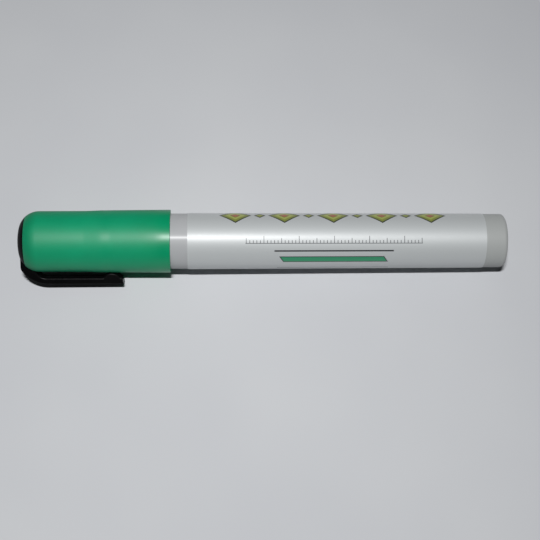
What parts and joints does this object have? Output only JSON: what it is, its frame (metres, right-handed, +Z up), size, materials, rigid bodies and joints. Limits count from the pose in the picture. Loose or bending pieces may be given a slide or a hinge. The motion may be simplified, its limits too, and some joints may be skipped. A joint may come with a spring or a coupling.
{
  "type": "arrow cresting pen",
  "caption": "Capped valve-action paint marker for cresting arrows: pull-off green cap with a black crown and sprung pocket clip, grey barrel with a wrap label, sprung chisel nib inside.",
  "frame": {"origin": "centre of the tail's flat end face, on the pen's axis", "axes": "+X along the pen to the crown of the cap, +Z up with the pen lying on its side, clip on the +Y side rolled 40 degrees below the horizontal"},
  "size_m": [0.14, 0.0198, 0.0186],
  "materials": {
    "barrel_grey": "semi-gloss moulded",
    "label_film": "satin silver-white film",
    "cap_green": "gloss moulded polypropylene",
    "clip_black": "gloss moulded",
    "natural_plastic": "natural moulded",
    "felt": "pressed polyester felt",
    "seal_rubber": "matt",
    "steel": "bright"
  },
  "bodies": {
    "pen": {"barrel": "barrel_grey", "label": "label_film", "front_section": "natural_plastic", "valve_body": "natural_plastic", "valve_seal": "seal_rubber", "valve_spring": "steel", "spring_plate": "natural_plastic"},
    "nib": {"nib": "felt"},
    "rod": {"valve_rod": "natural_plastic"},
    "balls": {"mixing_balls": "steel"},
    "cap": {"cap_sleeve": "cap_green", "cap_crown": "clip_black", "inner_cap": "natural_plastic"},
    "clip": {"pocket_clip": "clip_black"}
  },
  "joints": [
    {"name": "cap_pull", "type": "slide", "parent": "pen", "child": "cap", "axis": [1, 0, 0], "range_m": [0, 0.045]},
    {"name": "clip_flex", "type": "hinge", "parent": "cap", "child": "clip", "pos_m": [0.131, 0.00915, -0.00768], "axis": [0, -0.6428, -0.766], "range_deg": [0, 5], "stiffness_Nm_per_rad": 0.6},
    {"name": "nib_press", "type": "slide", "parent": "pen", "child": "nib", "axis": [-1, 0, 0], "range_m": [0, 0.0025], "stiffness_N_per_m": 800},
    {"name": "valve_open", "type": "slide", "parent": "pen", "child": "rod", "axis": [-1, 0, 0], "range_m": [0, 0.0025], "deforming": ["valve_spring"]},
    {"name": "ball_roll", "type": "slide", "parent": "pen", "child": "balls", "axis": [1, 0, 0], "range_m": [0, 0.067]}
  ],
  "couplings": [
    {"joint": "valve_open", "follows": "nib_press", "ratio": 1}
  ]
}
